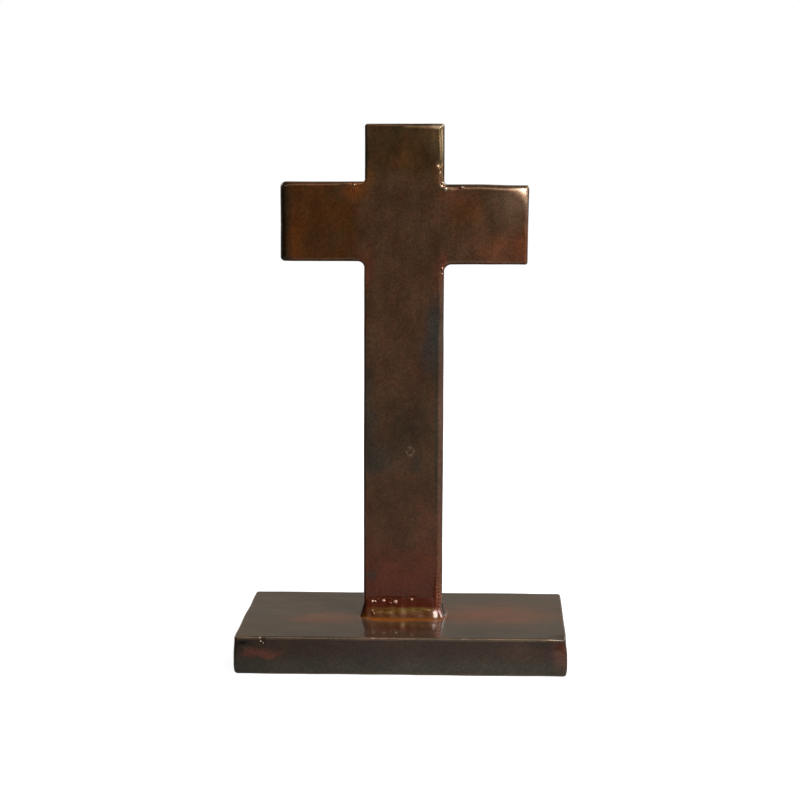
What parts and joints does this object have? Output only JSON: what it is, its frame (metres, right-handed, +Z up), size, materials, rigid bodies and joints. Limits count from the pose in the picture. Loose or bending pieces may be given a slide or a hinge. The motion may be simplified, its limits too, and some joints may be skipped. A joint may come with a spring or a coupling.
{
  "type": "altar cross",
  "caption": "Free-standing altar cross of welded flat steel bar: an upright with two short arms, fillet welded to a thick rectangular base plate.",
  "frame": {"origin": "middle of the base plate's underside", "axes": "+Z up along the upright, +X to the right as seen from the front, +Y from the front to the back"},
  "size_m": [0.155, 0.1016, 0.2536],
  "materials": {
    "plate_steel": "oil-rubbed and lacquered, satin to gloss",
    "bar_steel": "heat-tinted brown, oil-rubbed and lacquered, satin to gloss",
    "weld_metal": "heat-tinted and lacquered, satin"
  },
  "bodies": {
    "root": {"base_plate": "plate_steel", "upright": "bar_steel", "left_arm": "bar_steel", "right_arm": "bar_steel", "left_arm_front_weld": "weld_metal", "left_arm_rear_weld": "weld_metal", "left_arm_upper_corner_weld": "weld_metal", "left_arm_lower_corner_weld": "weld_metal", "right_arm_front_weld": "weld_metal", "right_arm_rear_weld": "weld_metal", "right_arm_upper_corner_weld": "weld_metal", "right_arm_lower_corner_weld": "weld_metal", "foot_front_weld": "weld_metal", "foot_rear_weld": "weld_metal", "foot_left_weld": "weld_metal", "foot_right_weld": "weld_metal"}
  },
  "joints": []
}
